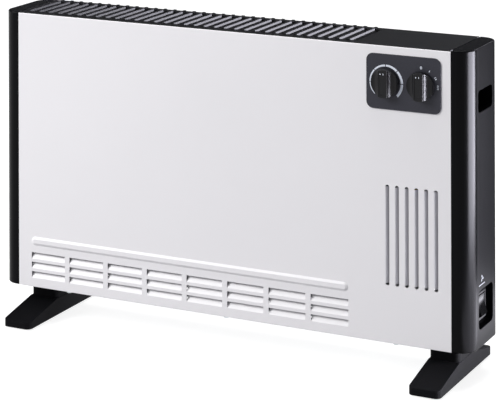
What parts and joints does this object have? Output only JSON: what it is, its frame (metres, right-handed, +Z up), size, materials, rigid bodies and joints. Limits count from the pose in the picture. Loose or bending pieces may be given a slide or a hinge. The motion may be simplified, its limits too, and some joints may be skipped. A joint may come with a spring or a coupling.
{
  "type": "convector heater",
  "caption": "Free-standing convector heater with a louvred top outlet, thermostat and selector dials, a fan with its own rocker switch, and two feet.",
  "frame": {"origin": "on the floor, under the middle of the heater", "axes": "+Z up; the front faces -Y; +X to the right as seen from the front, along the heater's length"},
  "size_m": [0.6, 0.165, 0.37],
  "materials": {
    "front_panel": "white powder coat, satin",
    "rear_panel": "white powder coat, satin",
    "base_tray": "plain galvanised sheet",
    "end_cap": "black, semi-gloss",
    "top_grille": "black, satin",
    "control_panel": "black, satin",
    "inner_steel": "plain galvanised sheet",
    "thermostat": "unglazed steatite",
    "selector_switch": "dark moulded resin",
    "dial_shaft": "turned steel",
    "knob": "black, semi-gloss",
    "turbo_switch": "black, semi-gloss",
    "turbo_rocker": "black, glossy",
    "element_fins": "extruded, plain",
    "element_rods": "stainless sheath",
    "element_bushes": "unglazed, off-white",
    "thermal_cutout": "dark resin with a metal cap",
    "fan_plastic": "heat-resistant, dark grey",
    "fan_shaft": "ground steel",
    "motor_core": "stacked sheet steel",
    "motor_coil": "wrapped in yellow tape",
    "motor_bearings": "die-cast",
    "terminal_block": "off-white moulded resin",
    "cord_gland": "matt black",
    "foot": "black, satin",
    "foot_pads": "matt black",
    "screws": "zinc plated"
  },
  "bodies": {
    "housing": {"front_panel": "front_panel", "rear_panel": "rear_panel", "base_tray": "base_tray", "right_end_cap": "end_cap", "left_end_cap": "end_cap", "top_grille": "top_grille", "control_panel": "control_panel", "control_bracket": "inner_steel", "thermostat": "thermostat", "selector_switch": "selector_switch", "turbo_switch": "turbo_switch", "left_wall": "inner_steel", "partition": "inner_steel", "heat_shield": "inner_steel", "lower_element_fins": "element_fins", "upper_element_fins": "element_fins", "element_rods": "element_rods", "element_bushes": "element_bushes", "cutout_bracket": "inner_steel", "thermal_cutout": "thermal_cutout", "fan_shroud": "fan_plastic", "motor_bracket": "inner_steel", "motor_core": "motor_core", "motor_coil": "motor_coil", "motor_bearings": "motor_bearings", "terminal_block": "terminal_block", "cord_gland": "cord_gland", "right_foot": "foot", "left_foot": "foot", "foot_pads": "foot_pads", "foot_screws": "screws", "base_screws": "screws", "rear_screws": "screws", "cap_screws": "screws", "bracket_screws": "screws", "control_screws": "screws", "motor_screws": "screws", "wall_screws": "screws"},
    "thermostat_dial": {"thermostat_knob": "knob", "thermostat_shaft": "dial_shaft"},
    "selector_dial": {"selector_knob": "knob", "selector_shaft": "dial_shaft"},
    "fan_rocker": {"turbo_rocker": "turbo_rocker"},
    "fan": {"fan_impeller": "fan_plastic", "fan_shaft": "fan_shaft"}
  },
  "joints": [
    {"name": "thermostat_turn", "type": "hinge", "parent": "housing", "child": "thermostat_dial", "pos_m": [0.2012, -0.0479, 0.328], "axis": [0, 1, 0], "range_deg": [-135, 135]},
    {"name": "selector_turn", "type": "hinge", "parent": "housing", "child": "selector_dial", "pos_m": [0.2432, -0.0479, 0.328], "axis": [0, 1, 0], "range_deg": [0, 90]},
    {"name": "fan_rocker_tilt", "type": "hinge", "parent": "housing", "child": "fan_rocker", "pos_m": [0.2898, 0.0015, 0.0825], "axis": [0, 1, 0], "range_deg": [0, 16]},
    {"name": "fan_spin", "type": "hinge", "parent": "housing", "child": "fan", "pos_m": [0.19, 0, 0.1735], "axis": [1, 0, 0], "continuous": true}
  ]
}
